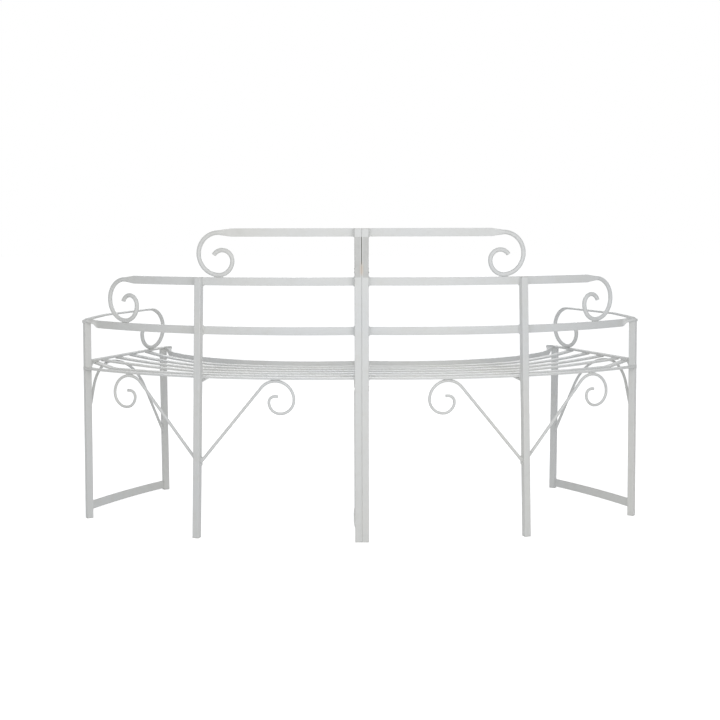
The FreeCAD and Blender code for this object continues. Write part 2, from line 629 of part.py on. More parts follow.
def make_scrolled_rail(label, side, height, flat_end, curls):
    """A back rail: flat round the arc, then a round rod that rolls up in a scroll."""
    body = new_body(label)
    flat = station(body, "flat", side, *on_arc("back", "Layout.rail_line", flat_end), height, flat_end)
    draw_rectangle(flat, "Sizes.flat_thick", "Sizes.flat_depth")
    draw_axis(flat, side, "Layout.rail_line")
    bend(body, "arc", flat, "%s - Layout.rail_start" % flat_end, True)
    x, y = on_arc("back", "Layout.rail_line", flat_end)
    x = "%s + Sizes.rail_taper * cos(%s)" % (x, flat_end)
    y = "%s + Sizes.rail_taper * sin(%s)" % (y, flat_end)
    tapered, rod = rod_end(body, side, x, y, height, flat_end)
    taper(body, "taper", flat, tapered)
    spine = upright(body, "spine", side, x, y, height, flat_end)
    draw_chain(spine, "0", curls)
    curl(body, "scroll", rod, spine)
    return body


def make_lower_rail(label, side):
    """The lower rail, which goes over the end post as a strap and on as the armrest."""
    body = new_body(label)
    turn = "Sizes.lower_flat_end"
    flat = station(body, "flat", side, "Layout.lower_x", "Layout.lower_y",
                   "Sizes.lower_rail_height", turn)
    draw_rectangle(flat, "Sizes.flat_thick", "Sizes.flat_depth")
    draw_axis(flat, side, "Layout.rail_line")
    bend(body, "arc", flat, "%s - Layout.rail_start" % turn, True)
    strap = station(body, "strap", side,
                    "Layout.end_x - Layout.arm_tangent * cos(Layout.arm_turn_in)",
                    "Layout.end_y - Layout.arm_tangent * sin(Layout.arm_turn_in)",
                    "Layout.strap_line", "Layout.arm_turn_in")
    draw_rectangle(strap, "Sizes.flat_depth", "Sizes.flat_thick")
    draw_axis(strap, side, "Sizes.corner_radius")
    taper(body, "shoulder", flat, strap)
    bend(body, "corner", strap, "Layout.arm_turn")
    after = station(body, "after", side, *along_end("Layout.arm_tangent"),
                    "Layout.strap_line", "Layout.end_heading")
    draw_rectangle(after, "Sizes.flat_depth", "Sizes.flat_thick")
    rod_from = "Layout.arm_tangent + Sizes.arm_rise"
    risen, rod = rod_end(body, side, *along_end(rod_from), "Sizes.arm_height", "Layout.end_heading")
    taper(body, "rise", after, risen)
    pad(body, "armrest", rod, "Layout.arm_bend - (%s)" % rod_from)
    inturn = station(body, "inturn", side, *along_end("Layout.arm_bend"), "Sizes.arm_height",
                     "Layout.end_heading")
    draw_circle(inturn, "Sizes.rod_width")
    draw_axis(inturn, side, "Sizes.arm_inturn_radius")
    bend(body, "inward_turn", inturn, "Sizes.arm_inturn")
    top = station(body, "top", side, "Layout.arm_x", "Layout.arm_y", "Sizes.arm_height",
                  "Layout.arm_heading")
    draw_circle(top, "Sizes.rod_width")
    spine = upright(body, "spine", side, "Layout.arm_x", "Layout.arm_y", "Sizes.arm_height",
                    "Layout.arm_heading")
    draw_chain(spine, "0", [("Layout.arm_curl", "180"), ("Sizes.arm_curl_second", "90"),
                            ("Sizes.arm_curl_third", "Sizes.arm_curl_tip")])
    curl(body, "scroll", top, spine)
    cope(body, side, "arm_post_notch", splayed("end", END_TURN, "Layout.strap_line"), TUBE_TURN,
         "Sizes.lower_rail_height - Sizes.flat_depth", "Layout.strap_line - Layout.half_flat")
    return body


def make_back_rim(label, side):
    """The seat's back rim: a lying strap that turns over the end leg and on as the end rail."""
    body = new_body(label)
    corner = station(body, "corner", side, *on_arc("rim", "Sizes.seat_radius", "Layout.rim_end"),
                     "Layout.rim_height", "Layout.rim_end")
    draw_rectangle(corner, "Sizes.strap_width", "Sizes.strap_thick")
    draw_axis(corner, side, "Sizes.seat_radius")
    bend(body, "arc", corner, "Layout.rim_end - Layout.rim_start", True)
    turning = station(body, "turning", side,
                      *on_arc("rim", "Sizes.seat_radius", "Layout.rim_end"),
                      "Layout.rim_height", "Layout.rim_end")
    draw_rectangle(turning, "Sizes.strap_width", "Sizes.strap_thick")
    draw_axis(turning, side, "Sizes.corner_radius")
    bend(body, "turn", turning, "Layout.end_heading - Layout.rim_end")
    after = station(body, "after", side, *along_end("Layout.corner_along"), "Layout.rim_height",
                    "Layout.end_heading")
    draw_rectangle(after, "Sizes.strap_width", "Sizes.strap_thick")
    risen_from = "Layout.corner_along + Sizes.end_rail_rise"
    risen = station(body, "risen", side, *along_end(risen_from), "Sizes.end_rail_height",
                    "Layout.end_heading")
    draw_rectangle(risen, "Sizes.strap_width", "Sizes.strap_thick")
    taper(body, "rise", after, risen)
    pad(body, "end_rail", risen, "Layout.bend_along - (%s)" % risen_from)
    bent = station(body, "bent", side, *along_end("Layout.bend_along"), "Sizes.end_rail_height",
                   "Layout.end_heading")
    draw_rectangle(bent, "Sizes.strap_width", "Sizes.strap_thick")
    draw_axis(bent, side, "Sizes.front_bend")
    bend(body, "front_turn", bent, "Layout.front_end + 180 - Layout.end_heading")
    trim_at_centre_rail(body, side)
    cope(body, side, "arm_post_notch", splayed("end", END_TURN, "Sizes.seat_height"), TUBE_TURN,
         "Sizes.seat_height", "Sizes.end_rail_height + Sizes.rod_width")
    return body


def make_front_rim(label, side):
    """The seat's front rim: a standing flat bar that twists to lie over the end leg."""
    body = new_body(label)
    flat_end = "Layout.front_flat_end"
    flat = station(body, "flat", side, *on_arc("front", "Sizes.front_radius", flat_end),
                   "Layout.rim_height", flat_end)
    draw_rectangle(flat, "Sizes.flat_thick", "Sizes.flat_depth")
    draw_axis(flat, side, "Sizes.front_radius")
    bend(body, "arc", flat, "%s - Layout.front_start" % flat_end, True)
    lying = station(body, "lying", side,
                    *on_arc("front", "Sizes.front_radius", "Layout.front_end"),
                    "Sizes.end_rail_height", "Layout.front_end")
    draw_rectangle(lying, "Sizes.strap_width", "Sizes.strap_thick")
    taper(body, "twist", flat, lying)
    cope(body, side, "leg_notch", CENTRE_LEG, "0", "0", "Sizes.seat_height + Sizes.flat_depth")
    return body


def make_slat(label, side, index, ordinal):
    """A seat slat: a lying flat bar round an arc, which climbs to the underside of the end rail.

    The climb starts past the bar under the slats, but near the tip on the first slat.
    """
    middle = "(Sizes.slat_first_middle + %d * Sizes.slat_pitch_middle)" % index
    end_x, end_y = along_end("Sizes.%s_slat_end" % ordinal)
    climb_from = "Sizes.crossbar_back + Sizes.rod_width" if index else "tip_x - Sizes.first_slat_climb"
    plan = doc.addObject("App::VarSet", label + "_plan")
    steps = [
        ("start_x", "Layout.half_flat"),
        ("start_y", middle),
        ("tip_x", end_x),
        ("tip_y", end_y),
        ("arc_x", "Sizes.seat_shift"),
        ("arc_y", "((tip_x - arc_x) ^ 2 - (start_x - arc_x) ^ 2 + tip_y ^ 2 - start_y ^ 2)"
                  " / 2 / (tip_y - start_y)"),
        ("radius", "sqrt((start_x - arc_x) ^ 2 + (arc_y - start_y) ^ 2)"),
        ("start", "atan2(start_x - arc_x; arc_y - start_y) / 1deg"),
        ("tip", "atan2(tip_x - arc_x; arc_y - tip_y) / 1deg"),
        # After a short bend upwards the slat goes on round an arc in a tilted plane.
        ("flat_end", "asin((%s - arc_x) / radius) / 1deg" % climb_from),
        ("along", "radius * sin(tip - flat_end)"),
        ("inward", "radius * (1 - cos(tip - flat_end))"),
        ("climb", "Layout.leg_top - Sizes.strap_thick / 2 - Layout.rim_height"),
        ("run", "sqrt(along ^ 2 + climb ^ 2 - 2 * climb * Sizes.slat_bend)"),
        ("rise", "(atan(Sizes.slat_bend / run) - atan((Sizes.slat_bend - climb) / along)) / 1deg"),
        ("bend_run", "Sizes.slat_bend * sin(rise)"),
        ("tilted_radius", "(run ^ 2 + inward ^ 2) / 2 / inward"),
        ("tilted_turn", "2 * atan(inward / run) / 1deg"),
        ("bend_x", "arc_x + radius * sin(flat_end) + bend_run * cos(flat_end)"),
        ("bend_y", "arc_y - radius * cos(flat_end) + bend_run * sin(flat_end)"),
        ("bend_z", "Layout.rim_height + Sizes.slat_bend * (1 - cos(rise))"),
    ]
    for name, expression in steps:
        plan.addProperty("App::PropertyFloat", name, "Plan")
        plan.setExpression(name, expression)
    doc.recompute()
    own = plan.Name + "."
    body = new_body(label)
    bar_end = ("%sarc_x + %sradius * sin(%sflat_end)" % (own, own, own),
               "%sarc_y - %sradius * cos(%sflat_end)" % (own, own, own))
    flat = station(body, "flat", side, *bar_end, "Layout.rim_height", own + "flat_end")
    draw_rectangle(flat, "Sizes.strap_width", "Sizes.strap_thick")
    draw_axis(flat, side, own + "radius")
    bend(body, "arc", flat, "%sflat_end - %sstart" % (own, own), True)
    turning = station(body, "turning", side, *bar_end, "Layout.rim_height", own + "flat_end")
    draw_rectangle(turning, "Sizes.strap_width", "Sizes.strap_thick")
    draw_level_axis(turning, "Sizes.slat_bend")
    bend(body, "turn_up", turning, own + "rise")
    rising = station(body, "rising", side, own + "bend_x", own + "bend_y", own + "bend_z",
                     own + "flat_end", own + "rise")
    draw_rectangle(rising, "Sizes.strap_width", "Sizes.strap_thick")
    draw_axis(rising, side, own + "tilted_radius")
    bend(body, "climb", rising, own + "tilted_turn")
    trim_at_centre_rail(body, side)
    return body


def make_centre_seat_rail(label, side):
    """The seat's inner end rail: a standing flat bar from the centre back post to its front leg."""
    body = new_body(label)
    flat = station(body, "flat", side, "Layout.half_flat", "Sizes.post_width / 2",
                   "Sizes.seat_height - Sizes.flat_depth / 2", "90")
    draw_rectangle(flat, "Sizes.flat_thick", "Sizes.flat_depth")
    pad(body, "rail", flat, "Sizes.front_leg_depth - Sizes.post_width")
    return body


def make_crossbar(label, side):
    """The round bar under the slats, beside the mid post, which ends against the front rim."""
    body = new_body(label)
    height = "Layout.rim_bottom - Layout.rod_radius"
    front_y = "Layout.front_y - sqrt(Sizes.front_radius ^ 2 - (Sizes.crossbar_front - Layout.front_x) ^ 2)"
    run_x = "(Sizes.crossbar_front - Sizes.crossbar_back)"
    run_y = "(%s - Sizes.crossbar_depth)" % front_y
    heading = "atan2(%s; %s) / 1deg" % (run_y, run_x)
    start = station(body, "start", side, "Sizes.crossbar_back", "Sizes.crossbar_depth", height, heading)
    draw_circle(start, "Sizes.rod_width")
    pad(body, "bar", start, "sqrt(%s ^ 2 + %s ^ 2)" % (run_x, run_y))
    face = level(body, "rim_face", side, "Layout.front_x", "Layout.front_y", "0")
    ring = "2 * Sizes.front_radius + Sizes.flat_thick"
    draw_circle(face, ring)
    pocket(body, "rim_face_cut", face, "Sizes.seat_height")
    return body


def make_scroll_brace(label, side, which, outward):
    """A brace from the mid post up to the back rim, ending in a scroll; outward from the centre."""
    body = new_body(label)
    heading = "Layout.brace_bearing %s Layout.%s_spread" % ("-" if outward else "+", which)
    slope = "Sizes.%s_brace_slope" % which
    straight_run = "(Layout.%s_run - Sizes.brace_first * sin(%s))" % (which, slope)
    start_z = "Layout.rim_bottom - Layout.brace_radius - Sizes.brace_first * (1 - cos(%s))" \
              " - %s * tan(%s)" % (slope, straight_run, slope)
    place = ("Layout.brace_x", "Layout.brace_y", start_z)
    foot = station(body, "foot", side, *place, heading, slope)
    draw_circle(foot, "Sizes.brace_rod")
    spine = upright(body, "spine", side, *place, heading)
    draw_chain(spine, slope,
               [("%s / cos(%s)" % (straight_run, slope),),
                ("Sizes.brace_first", "90 + " + slope), ("Sizes.brace_second", "90"),
                ("Sizes.brace_third", "90"), ("Sizes.brace_fourth", "90"), ("Sizes.brace_tip",)])
    curl(body, "rod", foot, spine)
    post_z = "(%s + Sizes.brace_rod)" % start_z
    cope(body, side, "post_notch", splayed("mid", MID_TURN, post_z), MID_TURN,
         "%s - 3 * Sizes.brace_rod" % start_z, "Layout.rim_bottom")
    return body


def make_arch_brace(label, side, start, back, back_turn, front, front_turn, span, heading, top):
    """A brace of one rod under the seat: up from the back post, over, and down to the leg."""
    body = new_body(label)
    rise_back = "(%s - Sizes.arch_back_height)" % top
    rise_front = "(%s - Sizes.arch_front_height)" % top
    back_slope = "Sizes.arch_back_slope"
    front_slope = "Sizes.arch_front_slope"
    crest = "(Sizes.arch_crest / Sizes.end_span * %s)" % span
    back_arc = "((%s - %s / tan(%s)) / tan(%s / 2))" % (crest, rise_back, back_slope, back_slope)
    front_arc = "((%s - %s - %s / tan(%s)) / tan(%s / 2))" \
                % (span, crest, rise_front, front_slope, front_slope)
    back_leg = "(%s - %s * (1 - cos(%s))) / sin(%s)" % (rise_back, back_arc, back_slope, back_slope)
    front_leg = "(%s - %s * (1 - cos(%s))) / sin(%s)" \
                % (rise_front, front_arc, front_slope, front_slope)
    foot = station(body, "foot", side, *start, "Sizes.arch_back_height", heading, back_slope)
    draw_circle(foot, "Sizes.brace_rod")
    spine = upright(body, "spine", side, *start, "Sizes.arch_back_height", heading)
    draw_chain(spine, back_slope, [(back_leg,), (back_arc, back_slope), (front_arc, front_slope),
                                   (front_leg,)])
    curl(body, "rod", foot, spine)
    cope(body, side, "back_notch", back, back_turn, "Sizes.arch_back_height - 2 * Sizes.brace_rod",
         "Sizes.arch_back_height + 6 * Sizes.brace_rod")
    cope(body, side, "front_notch", front, front_turn,
         "Sizes.arch_front_height - 2 * Sizes.brace_rod",
         "Sizes.arch_front_height + 4 * Sizes.brace_rod")
    return body


def make_stretcher(label, side, back, back_turn, front, front_turn, span, heading):
    """A flat bar near the floor from a back post to its front leg, bowed a little sideways."""
    body = new_body(label)
    chord = "sqrt((%s) ^ 2 + Sizes.stretcher_drop ^ 2)" % span
    half_turn = "(2 * atan(2 * Sizes.stretcher_bow / (%s)))" % chord
    radius = "(%s) / 2 / sin(%s)" % (chord, half_turn)
    height = "Sizes.stretcher_drop + Sizes.stretcher_depth / 2 + Sizes.stretcher_height"
    flat = station(body, "flat", side, *back, height, "%s - %s / 1deg" % (heading, half_turn),
                   "-atan(Sizes.stretcher_drop / (%s)) / 1deg" % span)
    draw_rectangle(flat, "Sizes.flat_thick", "Sizes.stretcher_depth")
    draw_axis(flat, side, radius)
    bend(body, "bar", flat, "2 * %s" % half_turn)
    low = "0"
    high = "Sizes.stretcher_drop + 3 * Sizes.stretcher_depth"
    cope(body, side, "back_notch", back, back_turn, low, high)
    cope(body, side, "front_notch", front, front_turn, low, high)
    return body


def make_joining_bolt(label, height, sleeved):
    """A flat-headed bolt from the right, or its sleeve nut from the left."""
    body = new_body(label)
    side = -1 if sleeved else 1
    width = "Sizes.sleeve_width" if sleeved else "Sizes.bolt_width"
    past = "Sizes.sleeve_reach" if sleeved else "Sizes.bolt_reach"
    face = station(body, "face", side, "Sizes.post_width", "0", height, "0")
    draw_circle(face, "Sizes.bolt_head")
    pad(body, "head", face, "Sizes.head_height")
    end = station(body, "end", side, "-(%s)" % past, "0", height, "0")
    draw_circle(end, width)
    pad(body, "shank", end, "Sizes.post_width + %s" % past)
    key = station(body, "key", side, "Sizes.post_width + Sizes.head_height - Sizes.key_depth", "0",
                  height, "0")
    draw_hexagon(key, "Sizes.key_socket")
    pocket(body, "key_socket", key, "Sizes.key_depth")
    if sleeved:
        bore = station(body, "bore", side, "-Sizes.sleeve_reach", "0", height, "0")
        draw_circle(bore, "Sizes.bolt_width")
        pocket(body, "bore_cut", bore, "Sizes.sleeve_reach + Sizes.bolt_reach")
    return body


def make_group(label, bodies):
    """Several like pieces under one name."""
    group = doc.addObject("Part::Compound", label)
    group.Label = label
    group.Links = bodies
    return group


CENTRE_POST = ("Layout.half_post", "0")
CENTRE_LEG = ("Layout.half_post", "Sizes.front_leg_depth")
MID_POST = ("Layout.mid_x", "Layout.mid_y")
END_POST = ("Layout.end_x", "Layout.end_y")
END_LEG = ("Layout.leg_x", "Layout.leg_y")


def make_posts(hand, side):
    """The six tubes of one module."""
    sole = "Sizes.foot_sole"
    centre = make_post(hand + "_centre_back_post", side, CENTRE_POST, "0", sole,
                       "Sizes.back_height - Sizes.foot_sole")
    drill_for_bolts(centre, side)
    mid = make_post(hand + "_mid_back_post", side, splayed("mid", MID_TURN, sole), MID_TURN, sole,
                    "Layout.mid_top - Sizes.foot_sole", MID_TURN)
    end_leg = make_post(hand + "_end_back_leg", side, splayed("end", END_TURN, sole), TUBE_TURN,
                        sole, "Layout.rim_bottom", END_TURN)
    arm_post = make_post(hand + "_end_arm_post", side,
                         splayed("end", END_TURN, "Sizes.seat_height"), TUBE_TURN,
                         "Sizes.seat_height", "Layout.strap_line - Layout.half_flat", END_TURN)
    centre_leg = make_post(hand + "_centre_front_leg", side, CENTRE_LEG, "0", sole,
                           "Layout.rim_height + Sizes.flat_depth / 2 - Sizes.foot_sole")
    front_leg = make_post(hand + "_end_front_leg", side, END_LEG, TUBE_TURN, sole,
                          "Layout.leg_top - Sizes.foot_sole")
    return [centre, mid, end_leg, arm_post, centre_leg, front_leg]


def make_plugs(hand, side):
    """The foot plugs and the top caps of one module."""
    feet = [(CENTRE_POST, "0", None), (splayed("mid", MID_TURN, "0"), MID_TURN, MID_TURN),
            (splayed("end", END_TURN, "0"), TUBE_TURN, END_TURN), (CENTRE_LEG, "0", None),
            (END_LEG, TUBE_TURN, None)]
    plugs = [make_plug("%s_foot_plug_%d" % (hand, index), side, place, turn, "0", False, lean)
             for index, (place, turn, lean) in enumerate(feet, start=1)]
    mid_core = "Layout.mid_top - Sizes.foot_sole - Sizes.plug_depth"
    tops = [(CENTRE_POST, "0", "Sizes.back_height", None),
            (splayed("mid", MID_TURN, mid_core), MID_TURN, "Layout.mid_top", MID_TURN),
            (CENTRE_LEG, "0", "Layout.rim_height + Sizes.flat_depth / 2", None),
            (END_LEG, TUBE_TURN, "Layout.leg_top", None)]
    caps = [make_plug("%s_top_cap_%d" % (hand, index), side, place, turn, height, True, lean)
            for index, (place, turn, height, lean) in enumerate(tops, start=1)]
    return [make_group(hand + "_foot_plugs", plugs), make_group(hand + "_post_top_caps", caps)]


def make_module(hand, side):
    """All the pieces of one module."""
    pieces = make_posts(hand, side) + make_plugs(hand, side)
    top_curls = [("Layout.top_curl", "180"), ("Sizes.top_curl_second", "90"),
                 ("Sizes.top_curl_third", "Sizes.top_curl_tip")]
    pieces.append(make_scrolled_rail(hand + "_top_rail", side, "Layout.top_rail_height",
                                     "Sizes.top_flat_end", top_curls))
    middle_curls = [("Layout.middle_curl", "180"), ("Sizes.middle_curl_second", "90"),
                    ("Sizes.middle_curl_third", "Sizes.middle_curl_tip")]
    pieces.append(make_scrolled_rail(hand + "_middle_rail", side, "Sizes.middle_rail_height",
                                     "Sizes.middle_flat_end", middle_curls))
    pieces.append(make_lower_rail(hand + "_lower_rail_armrest", side))
    pieces.append(make_back_rim(hand + "_seat_back_rim", side))
    pieces.append(make_front_rim(hand + "_seat_front_rim", side))
    for index, ordinal in enumerate(("first", "second", "third", "fourth", "fifth")):
        pieces.append(make_slat("%s_seat_slat_%d" % (hand, index + 1), side, index, ordinal))
    pieces.append(make_centre_seat_rail(hand + "_centre_seat_rail", side))
    pieces.append(make_crossbar(hand + "_seat_crossbar", side))
    pieces.append(make_scroll_brace(hand + "_inner_scroll_brace", side, "inner", False))
    pieces.append(make_scroll_brace(hand + "_outer_scroll_brace", side, "outer", True))
    end_posts = (("Layout.arch_x", "Layout.arch_y"), TUBE_TURN, END_LEG, TUBE_TURN,
                 "Layout.arch_span", "Layout.arch_heading", "Layout.end_arch_top")
    pieces.append(make_arch_brace(hand + "_end_arch_brace", side, end_posts[0], *end_posts))
    end_feet = (("Layout.low_x", "Layout.low_y"), TUBE_TURN, END_LEG, TUBE_TURN,
                "Layout.low_span", "Layout.low_heading")
    pieces.append(make_stretcher(hand + "_end_stretcher", side, *end_feet))
    centre_feet = (CENTRE_POST, "0", CENTRE_LEG, "0", "Sizes.front_leg_depth", "90")
    pieces.append(make_arch_brace(hand + "_centre_arch_brace", side, ("Layout.brace_radius", "0"),
                                  *centre_feet, "Layout.centre_arch_top"))
    pieces.append(make_stretcher(hand + "_centre_stretcher", side, *centre_feet))
    return pieces


def make_joining_hardware():
    """The bolts and sleeve nuts that hold the two modules together."""
    heights = ("Sizes.upper_bolt_height", "Sizes.lower_bolt_height")
    bolts = [make_joining_bolt("joining_bolt_%d" % index, height, False)
             for index, height in enumerate(heights, start=1)]
    nuts = [make_joining_bolt("joining_nut_%d" % index, height, True)
            for index, height in enumerate(heights, start=1)]
    return [make_group("joining_bolts", bolts), make_group("joining_sleeve_nuts", nuts)]


def check_and_write(pieces):
    """Stop on anything that failed; then write each piece's shape under its own name."""
    doc.recompute()
    for item in doc.Objects:
        if "Invalid" in item.State or "Error" in item.State:
            raise RuntimeError("%s failed: %s" % (item.Label, item.State))
    for piece in pieces:
        if piece.Shape.isNull() or not piece.Shape.isValid():
            raise RuntimeError("%s has no valid shape" % piece.Label)
    os.makedirs("parts", exist_ok=True)
    for piece in pieces:
        piece.Shape.exportStep("parts/%s.step" % piece.Label)
        print(piece.Label, len(piece.Shape.Solids), round(piece.Shape.Volume))


pieces = []
for hand, side in SIDES:
    pieces += make_module(hand, side)
pieces += make_joining_hardware()
check_and_write(pieces)
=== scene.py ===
import math

import bmesh
import bpy
from mathutils import Euler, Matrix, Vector
from mathutils.bvhtree import BVHTree


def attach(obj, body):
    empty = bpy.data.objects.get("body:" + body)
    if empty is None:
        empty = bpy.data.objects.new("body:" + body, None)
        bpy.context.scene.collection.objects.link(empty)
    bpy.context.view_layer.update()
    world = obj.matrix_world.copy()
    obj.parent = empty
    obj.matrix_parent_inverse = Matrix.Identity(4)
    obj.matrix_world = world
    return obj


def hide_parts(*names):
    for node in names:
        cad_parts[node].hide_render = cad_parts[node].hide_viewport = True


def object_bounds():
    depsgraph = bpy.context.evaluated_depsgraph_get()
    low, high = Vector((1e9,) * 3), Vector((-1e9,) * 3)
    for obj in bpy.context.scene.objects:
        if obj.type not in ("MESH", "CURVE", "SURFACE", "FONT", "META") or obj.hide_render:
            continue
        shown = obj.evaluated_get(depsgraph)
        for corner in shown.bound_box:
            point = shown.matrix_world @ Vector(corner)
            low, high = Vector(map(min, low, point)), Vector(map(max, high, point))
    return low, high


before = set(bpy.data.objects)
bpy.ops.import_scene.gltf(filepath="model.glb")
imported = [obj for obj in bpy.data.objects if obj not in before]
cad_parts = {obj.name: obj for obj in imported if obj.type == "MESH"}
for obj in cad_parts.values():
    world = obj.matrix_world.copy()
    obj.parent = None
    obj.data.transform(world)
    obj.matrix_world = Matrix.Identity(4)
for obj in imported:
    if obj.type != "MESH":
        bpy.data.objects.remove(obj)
cad_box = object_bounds()

# Sizes are in millimetres and angles in degrees, and MM turns a size into Blender's metres.
MM = 0.001
WHITE = (1.0, 1.0, 1.0, 1.0)


class Shade:
    """A shader socket that takes part in ordinary arithmetic."""

    def __init__(self, tree, socket):
        self.tree = tree
        self.socket = socket

    def combine(self, operation, first, second):
        node = self.tree.nodes.new("ShaderNodeMath")
        node.operation = operation
        for index, value in enumerate((first, second)):
            if isinstance(value, Shade):
                self.tree.links.new(value.socket, node.inputs[index])
            else:
                node.inputs[index].default_value = value
        return Shade(self.tree, node.outputs[0])

    def __add__(self, other):
        return self.combine("ADD", self, other)

    def __radd__(self, other):
        return self.combine("ADD", other, self)

    def __sub__(self, other):
        return self.combine("SUBTRACT", self, other)

    def __rsub__(self, other):
        return self.combine("SUBTRACT", other, self)

    def __mul__(self, other):
        return self.combine("MULTIPLY", self, other)

    def __rmul__(self, other):
        return self.combine("MULTIPLY", other, self)

    def unsigned(self):
        return self.combine("ABSOLUTE", self, 0.0)


class Brush:
    """Adds nodes to a tree, one at a time."""

    def __init__(self, tree):
        self.tree = tree
        self.tree.nodes.clear()

    def node(self, kind, settings=None, sockets=None, output=0):
        made = self.tree.nodes.new(kind)
        for name, value in (settings or {}).items():
            setattr(made, name, value)
        for name, value in (sockets or {}).items():
            if isinstance(value, Shade):
                self.tree.links.new(value.socket, made.inputs[name])
            else:
                made.inputs[name].default_value = value
        return Shade(self.tree, made.outputs[output])

    def plain_rays(self):
        """1 on rays from the eye, off gloss or through glass, and 0 on rays that light things."""
        rays = self.node("ShaderNodeLightPath", output="Is Camera Ray")
        for kind in ("Is Glossy Ray", "Is Transmission Ray"):
            rays = rays.combine("MAXIMUM", rays, self.node("ShaderNodeLightPath", output=kind))
        return rays

    def cover(self, surface, kind="ShaderNodeOutputMaterial"):
        out = self.tree.nodes.new(kind)
        self.tree.links.new(surface.socket, out.inputs["Surface"])


class Finish(Brush):
    """A material under the brush. Its patterns lie on Object coordinates."""

    def __init__(self, name):
        self.material = bpy.data.materials.new(name)
        self.material.use_nodes = True
        super().__init__(self.material.node_tree)

    def place(self):
        return self.node("ShaderNodeTexCoord", output="Object")

    def along(self, axis):
        return self.node("ShaderNodeSeparateXYZ", None, {"Vector": self.place()}, axis)

    def noise(self, scale, detail=2.0):
        return self.node("ShaderNodeTexNoise", None,
                         {"Vector": self.place(), "Scale": scale, "Detail": detail}, "Fac")

    def spread(self, value, low, high):
        """The value run from low to high onto 0 to 1, held at both ends."""
        return self.node("ShaderNodeMapRange", {"clamp": True},
                         {"Value": value, "From Min": low, "From Max": high})

    def blend(self, amount, first, second):
        """A mix of two colours; 6 and 7 are the colour sockets of a Mix node, and 2 its colour."""
        return self.node("ShaderNodeMix", {"data_type": "RGBA"},
                         {0: amount, 6: first, 7: second}, 2)

    def bump(self, strength, distance, height, **sockets):
        return self.node("ShaderNodeBump", None,
                         {"Strength": strength, "Distance": distance * MM, "Height": height,
                          **sockets})

    def finish(self, **sockets):
        named = {name.replace("_", " "): value for name, value in sockets.items()}
        self.cover(self.node("ShaderNodeBsdfPrincipled", None, named))
        return self.material


FRESH_COAT = (0.715, 0.725, 0.725, 1.0)
CREAM_COAT = (0.745, 0.742, 0.715, 1.0)
DULL_COAT = (0.66, 0.655, 0.62, 1.0)
RUBBED_COAT = (0.52, 0.52, 0.5, 1.0)
SHADE_GREY = (0.55, 0.55, 0.535, 1.0)
SEAM_SHADOW = (0.24, 0.24, 0.22, 1.0)
RUST = (0.66, 0.49, 0.35, 1.0)
PLASTIC = (0.7, 0.7, 0.68, 1.0)
SOILED_PLASTIC = (0.52, 0.51, 0.47, 1.0)
DARK_ZINC = (0.56, 0.57, 0.58, 1.0)
LIGHT_ZINC = (0.72, 0.71, 0.68, 1.0)

# Between the two upper rails the paired middle posts carry painted shade, greyer, with a painted
# shadow down their open seam and rust at its foot.
GREY_LOW = 719.0
GREY_HIGH = 828.0
GREY_FACE = -341.0
SEAM_FOOT = 752.0


def shade_and_stain_joint(coat, base):
    """Painted shade on a stretch of the paired middle posts, painted shadow in their seam, and the
    rust at its foot.
    """
    height = coat.along("Z")
    aside = coat.along("X").unsigned()

    def fade(value, start, end):
        return coat.spread(value, start * MM, end * MM)

    stretch = (fade(coat.along("Y"), GREY_FACE + 2, GREY_FACE)
               * fade(height, GREY_LOW, GREY_LOW + 1.5) * fade(height, GREY_HIGH, GREY_HIGH - 2))
    mottle = 0.75 + 0.25 * coat.spread(coat.noise(75.0, 3.0), 0.35, 0.65)
    # Painted shade: the posts' front faces between the upper rails are mixed towards grey, mottled.
    grey = coat.blend(stretch * fade(aside, 2.2, 4.0) * mottle, base, SHADE_GREY)
    # Painted shadow: a dark line down the seam between the two posts, where shade falls in the gap.
    slit = stretch * fade(height, SEAM_FOOT, SEAM_FOOT + 5) * fade(aside, 1.7, 0.9)
    seam = coat.blend(slit, grey, SEAM_SHADOW)
    rust = (stretch * fade(height, SEAM_FOOT + 14, SEAM_FOOT - 4)
            * fade(height, GREY_LOW + 3, GREY_LOW + 14) * fade(aside, 6.5, 1.0) * mottle)
    return coat.blend(rust * 0.48, seam, RUST)


def paint_white_coat():
    """Baked white powder coat: a fine orange peel, a hint of cream, thinner and greyer on edges."""
    coat = Finish("baked_white_coat")
    peel = coat.noise(420.0)
    grain = coat.noise(1900.0, 1.0)
    drift = coat.spread(coat.noise(2.2, 3.0), 0.35, 0.65)
    patches = coat.spread(coat.noise(38.0, 4.0), 0.52, 0.72)
    rounded = coat.node("ShaderNodeBevel", {"samples": 4}, {"Radius": 1.2 * MM})
    flat = coat.node("ShaderNodeNewGeometry", output="Normal")
    likeness = coat.node("ShaderNodeVectorMath", {"operation": "DOT_PRODUCT"},
                         {0: rounded, 1: flat}, "Value")
    edge = coat.spread(1.0 - likeness, 0.02, 0.25)
    rubbed = edge * coat.spread(coat.noise(55.0, 3.0), 0.45, 0.7)
    base = coat.blend(drift, FRESH_COAT, CREAM_COAT)
    aged = coat.blend(patches * 0.35, base, DULL_COAT)
    worn = coat.blend(rubbed * 0.45, aged, RUBBED_COAT)
    return coat.finish(Base_Color=shade_and_stain_joint(coat, worn),
                       Roughness=0.36 + peel * 0.12 + rubbed * 0.2,
                       Normal=coat.bump(0.35, 0.12, peel + grain * 0.35, Normal=rounded))


def mould_white_plastic():
    """Moulded polyethylene of the foot plugs and post caps: duller, with a fine spark texture."""
    plastic = Finish("moulded_white_plastic")
    spark = plastic.noise(900.0)
    soil = plastic.spread(plastic.noise(60.0, 3.0), 0.45, 0.8)
    colour = plastic.blend(soil * 0.5, PLASTIC, SOILED_PLASTIC)
    return plastic.finish(Base_Color=colour, Roughness=0.5 + spark * 0.15,
                          Normal=plastic.bump(0.3, 0.1, spark))


